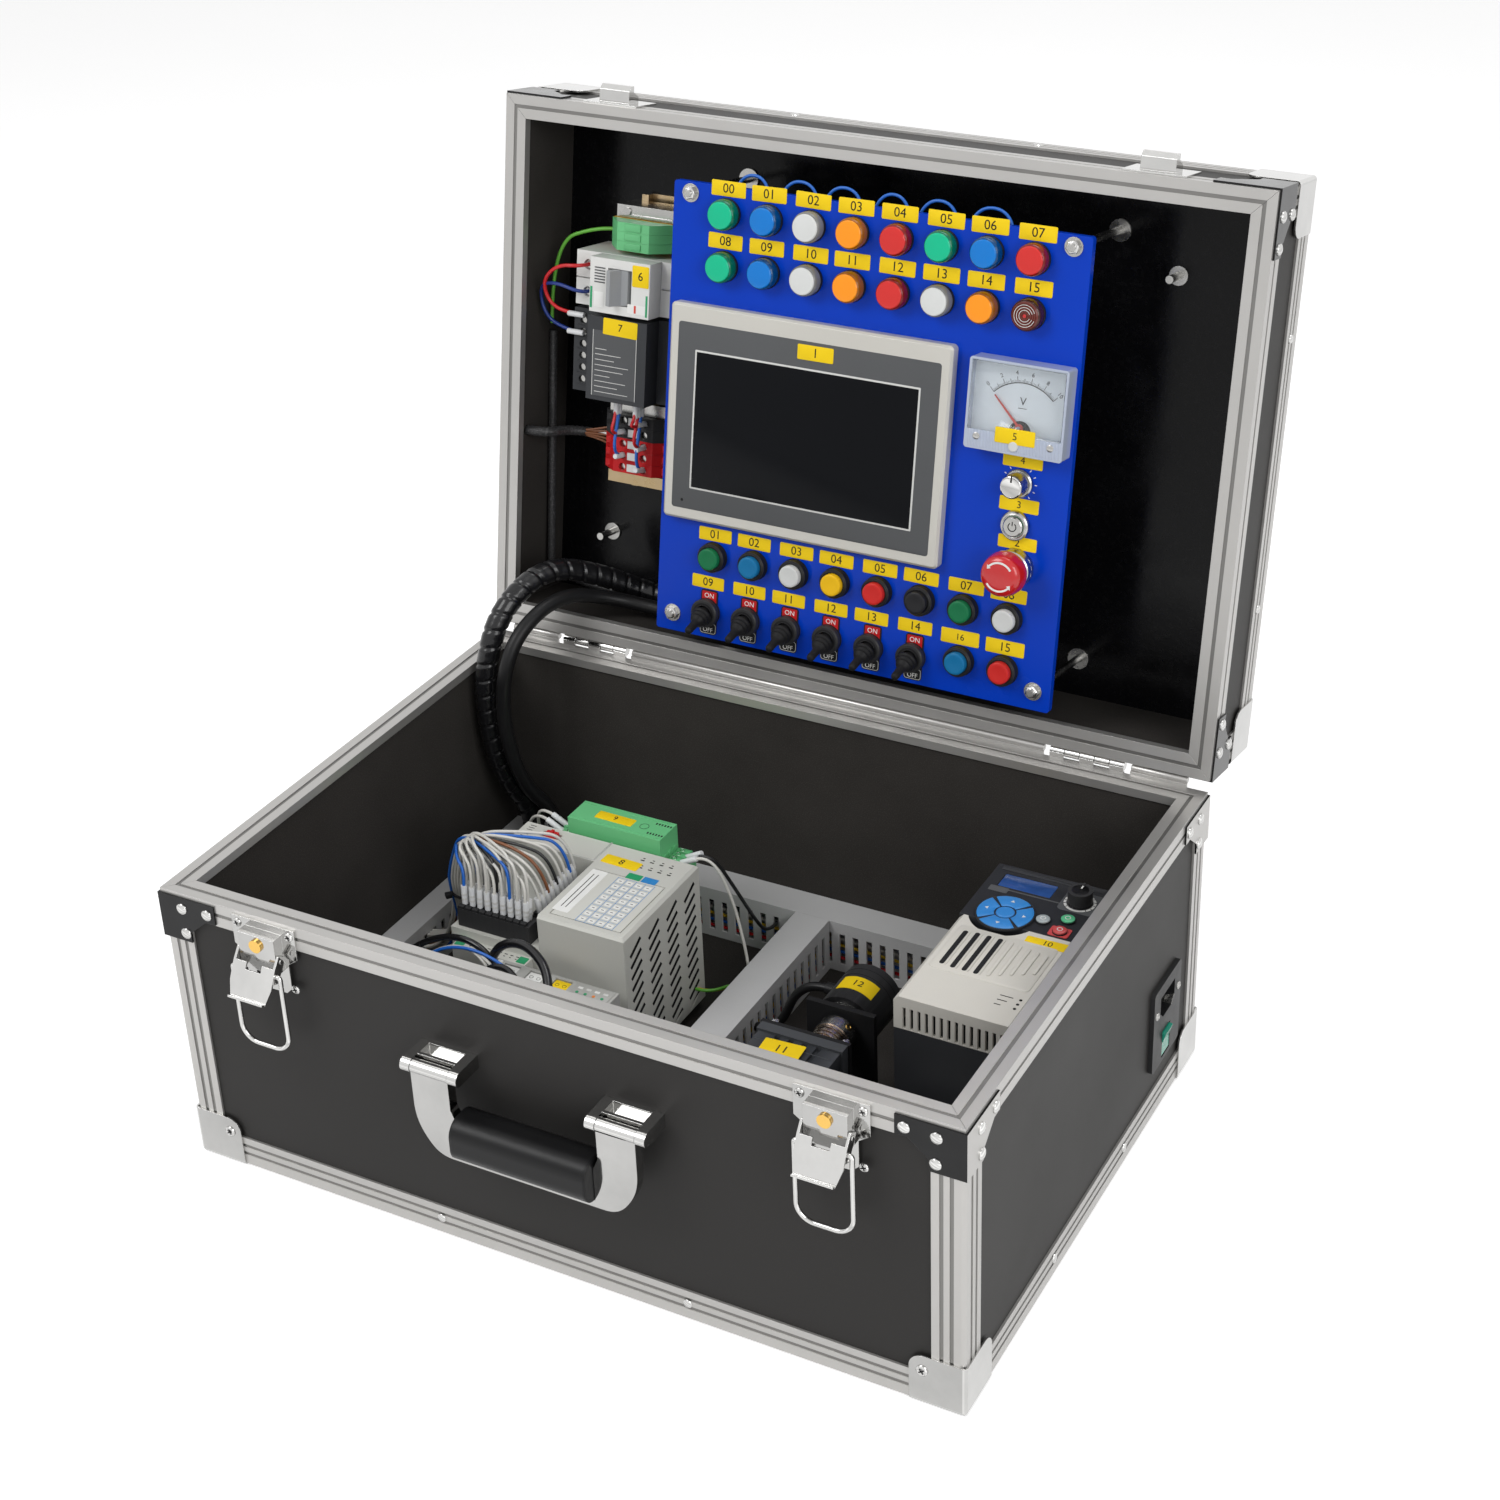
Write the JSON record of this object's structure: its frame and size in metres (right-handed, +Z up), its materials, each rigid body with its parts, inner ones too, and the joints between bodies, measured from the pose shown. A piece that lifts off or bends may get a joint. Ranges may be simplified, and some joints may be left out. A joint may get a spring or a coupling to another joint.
{
  "type": "programmable logic controller trainer",
  "caption": "Aluminium-edged carrying case with its lid open, holding a controller, drive, motor line and ducts below and a blue panel of lamps, buttons, switches, screen and meter above.",
  "frame": {"origin": "centre of the closed case's footprint, level with the underside of its corner caps", "axes": "+Z up, +X to the right seen from the latch side, -Y towards the latches"},
  "size_m": [0.5249, 0.5279, 0.5664],
  "materials": {
    "case_board": "black laminate",
    "aluminium_edging": "satin anodised",
    "bright_hardware": "bright plated",
    "black_plastic": "matt",
    "grey_plastic": "matt",
    "rocker_green": "gloss",
    "switch_red": "gloss",
    "knob_black": "matt",
    "rubber_black": "matt",
    "shaft_steel": "turned",
    "knob_metal": "turned",
    "panel_blue": "gloss acrylic",
    "breaker_white": "matt",
    "lamp_plastic": "translucent lenses in several colours",
    "button_green": "gloss",
    "button_blue": "gloss",
    "button_white": "gloss",
    "button_yellow": "gloss",
    "needle_red": "painted",
    "wire_jacket": "mixed colours",
    "harness_jacket": "satin spiral wrap"
  },
  "bodies": {
    "base": {"base_panels": "case_board", "base_edging": "aluminium_edging", "base_hardware": "bright_hardware", "front_fittings": "bright_hardware", "mains_inlet": "black_plastic", "wiring_ducts": "grey_plastic", "plc_body": "grey_plastic", "rail_modules": "grey_plastic", "inverter_body": "black_plastic", "inverter_cover": "grey_plastic", "motor_body": "black_plastic", "encoder_body": "black_plastic", "motor_driver": "black_plastic", "base_wiring": "wire_jacket", "harness": "harness_jacket", "harness_pair": "harness_jacket"},
    "lid": {"lid_panels": "case_board", "lid_edging": "aluminium_edging", "lid_hardware": "bright_hardware", "control_panel": "panel_blue", "lid_rail_and_studs": "shaft_steel", "circuit_breaker": "breaker_white", "power_supply": "black_plastic", "terminal_blocks": "black_plastic", "lid_wiring": "wire_jacket", "hmi": "grey_plastic", "indicator_lamps": "lamp_plastic", "switch_bodies": "black_plastic", "panel_meter": "breaker_white"},
    "latch_lever_left": {"latch_lever_left": "bright_hardware"},
    "latch_bail_left": {"latch_bail_left": "bright_hardware"},
    "latch_lever_right": {"latch_lever_right": "bright_hardware"},
    "latch_bail_right": {"latch_bail_right": "bright_hardware"},
    "carry_handle": {"carry_handle": "bright_hardware"},
    "inlet_rocker": {"inlet_rocker": "rocker_green"},
    "plc_mode_switch": {"plc_mode_switch": "switch_red"},
    "inverter_knob": {"inverter_knob": "knob_black"},
    "drive_line": {"drive_line": "shaft_steel"},
    "breaker_lever": {"breaker_lever": "black_plastic"},
    "meter_needle": {"meter_needle": "needle_red"},
    "button_01": {"button_01": "button_green"},
    "button_02": {"button_02": "button_blue"},
    "button_03": {"button_03": "button_white"},
    "button_04": {"button_04": "button_yellow"},
    "button_05": {"button_05": "switch_red"},
    "button_06": {"button_06": "knob_black"},
    "button_07": {"button_07": "button_green"},
    "button_08": {"button_08": "button_white"},
    "button_15": {"button_15": "switch_red"},
    "button_spare": {"button_spare": "button_blue"},
    "toggle_09": {"toggle_09": "rubber_black"},
    "toggle_10": {"toggle_10": "rubber_black"},
    "toggle_11": {"toggle_11": "rubber_black"},
    "toggle_12": {"toggle_12": "rubber_black"},
    "toggle_13": {"toggle_13": "rubber_black"},
    "toggle_14": {"toggle_14": "rubber_black"},
    "estop_stem": {"estop_stem": "knob_black"},
    "estop_head": {"estop_head": "switch_red"},
    "power_button": {"power_button": "shaft_steel"},
    "analog_knob": {"analog_knob": "knob_metal"}
  },
  "joints": [
    {"name": "lid_hinge", "type": "hinge", "parent": "base", "child": "lid", "pos_m": [0, 0.1832, 0.1992], "axis": [1, 0, 0], "range_deg": [0, 100.5], "deforming": ["harness", "harness_pair"]},
    {"name": "latch_lever_left_pivot", "type": "hinge", "parent": "base", "child": "latch_lever_left", "pos_m": [-0.184, -0.1865, 0.174], "axis": [-1, 0, 0], "range_deg": [-10, 75]},
    {"name": "latch_bail_left_pivot", "type": "hinge", "parent": "latch_lever_left", "child": "latch_bail_left", "pos_m": [-0.184, -0.19205, 0.16676], "axis": [-1, 0, 0], "range_deg": [0, 105]},
    {"name": "latch_lever_right_pivot", "type": "hinge", "parent": "base", "child": "latch_lever_right", "pos_m": [0.184, -0.1865, 0.174], "axis": [-1, 0, 0], "range_deg": [-10, 75]},
    {"name": "latch_bail_right_pivot", "type": "hinge", "parent": "latch_lever_right", "child": "latch_bail_right", "pos_m": [0.184, -0.19205, 0.16676], "axis": [-1, 0, 0], "range_deg": [0, 105]},
    {"name": "handle_pivot", "type": "hinge", "parent": "base", "child": "carry_handle", "pos_m": [0, -0.197, 0.139], "axis": [-1, 0, 0], "range_deg": [0, 95]},
    {"name": "inlet_switch", "type": "hinge", "parent": "base", "child": "inlet_rocker", "pos_m": [0.259, 0.119, 0.051], "axis": [0, 1, 0], "range_deg": [-16, 0]},
    {"name": "mode_slide", "type": "slide", "parent": "base", "child": "plc_mode_switch", "axis": [1, 0, 0], "range_m": [-0.0024, 0.0024]},
    {"name": "speed_knob", "type": "hinge", "parent": "base", "child": "inverter_knob", "pos_m": [0.222, 0.0678, 0.18], "axis": [0, 0, 1], "range_deg": [-140, 140]},
    {"name": "shaft_spin", "type": "hinge", "parent": "base", "child": "drive_line", "pos_m": [0.093, 0, 0.08], "axis": [0, 1, 0], "continuous": true},
    {"name": "breaker_toggle", "type": "hinge", "parent": "lid", "child": "breaker_lever", "pos_m": [-0.17, 0.2307, 0.44232], "axis": [0, -0.1822, -0.9833], "range_deg": [-40, 0]},
    {"name": "needle_swing", "type": "hinge", "parent": "lid", "child": "meter_needle", "pos_m": [0.1235, 0.19883, 0.40754], "axis": [0, 0.9833, -0.1822], "range_deg": [0, 90], "stiffness_Nm_per_rad": 0.00002},
    {"name": "button_01_press", "type": "slide", "parent": "lid", "child": "button_01", "axis": [0, 0.9833, -0.1822], "range_m": [0, 0.003], "stiffness_N_per_m": 300, "springref_m": -0.002},
    {"name": "button_02_press", "type": "slide", "parent": "lid", "child": "button_02", "axis": [0, 0.9833, -0.1822], "range_m": [0, 0.003], "stiffness_N_per_m": 300, "springref_m": -0.002},
    {"name": "button_03_press", "type": "slide", "parent": "lid", "child": "button_03", "axis": [0, 0.9833, -0.1822], "range_m": [0, 0.003], "stiffness_N_per_m": 300, "springref_m": -0.002},
    {"name": "button_04_press", "type": "slide", "parent": "lid", "child": "button_04", "axis": [0, 0.9833, -0.1822], "range_m": [0, 0.003], "stiffness_N_per_m": 300, "springref_m": -0.002},
    {"name": "button_05_press", "type": "slide", "parent": "lid", "child": "button_05", "axis": [0, 0.9833, -0.1822], "range_m": [0, 0.003], "stiffness_N_per_m": 300, "springref_m": -0.002},
    {"name": "button_06_press", "type": "slide", "parent": "lid", "child": "button_06", "axis": [0, 0.9833, -0.1822], "range_m": [0, 0.003], "stiffness_N_per_m": 300, "springref_m": -0.002},
    {"name": "button_07_press", "type": "slide", "parent": "lid", "child": "button_07", "axis": [0, 0.9833, -0.1822], "range_m": [0, 0.003], "stiffness_N_per_m": 300, "springref_m": -0.002},
    {"name": "button_08_press", "type": "slide", "parent": "lid", "child": "button_08", "axis": [0, 0.9833, -0.1822], "range_m": [0, 0.003], "stiffness_N_per_m": 300, "springref_m": -0.002},
    {"name": "button_15_press", "type": "slide", "parent": "lid", "child": "button_15", "axis": [0, 0.9833, -0.1822], "range_m": [0, 0.003], "stiffness_N_per_m": 300, "springref_m": -0.002},
    {"name": "button_spare_press", "type": "slide", "parent": "lid", "child": "button_spare", "axis": [0, 0.9833, -0.1822], "range_m": [0, 0.003], "stiffness_N_per_m": 300, "springref_m": -0.002},
    {"name": "toggle_09_flip", "type": "hinge", "parent": "lid", "child": "toggle_09", "pos_m": [-0.0856, 0.17007, 0.24964], "axis": [-1, 0, 0], "range_deg": [0, 36]},
    {"name": "toggle_10_flip", "type": "hinge", "parent": "lid", "child": "toggle_10", "pos_m": [-0.0559, 0.17007, 0.24964], "axis": [-1, 0, 0], "range_deg": [0, 36]},
    {"name": "toggle_11_flip", "type": "hinge", "parent": "lid", "child": "toggle_11", "pos_m": [-0.0262, 0.17007, 0.24964], "axis": [-1, 0, 0], "range_deg": [0, 36]},
    {"name": "toggle_12_flip", "type": "hinge", "parent": "lid", "child": "toggle_12", "pos_m": [0.0035, 0.17007, 0.24964], "axis": [-1, 0, 0], "range_deg": [0, 36]},
    {"name": "toggle_13_flip", "type": "hinge", "parent": "lid", "child": "toggle_13", "pos_m": [0.0332, 0.17007, 0.24964], "axis": [-1, 0, 0], "range_deg": [0, 36]},
    {"name": "toggle_14_flip", "type": "hinge", "parent": "lid", "child": "toggle_14", "pos_m": [0.0629, 0.17007, 0.24964], "axis": [-1, 0, 0], "range_deg": [0, 36]},
    {"name": "estop_push", "type": "slide", "parent": "lid", "child": "estop_stem", "axis": [0, 0.9833, -0.1822], "range_m": [0, 0.004]},
    {"name": "estop_twist", "type": "hinge", "parent": "estop_stem", "child": "estop_head", "pos_m": [0.127, 0.16786, 0.32276], "axis": [0, 0.9833, -0.1822], "range_deg": [0, 45], "stiffness_Nm_per_rad": 0.004},
    {"name": "power_press", "type": "slide", "parent": "lid", "child": "power_button", "axis": [0, 0.9833, -0.1822], "range_m": [0, 0.002], "stiffness_N_per_m": 300, "springref_m": -0.002},
    {"name": "analog_turn", "type": "hinge", "parent": "lid", "child": "analog_knob", "pos_m": [0.125, 0.18934, 0.37279], "axis": [0, -0.9833, 0.1822], "range_deg": [-140, 140]}
  ]
}
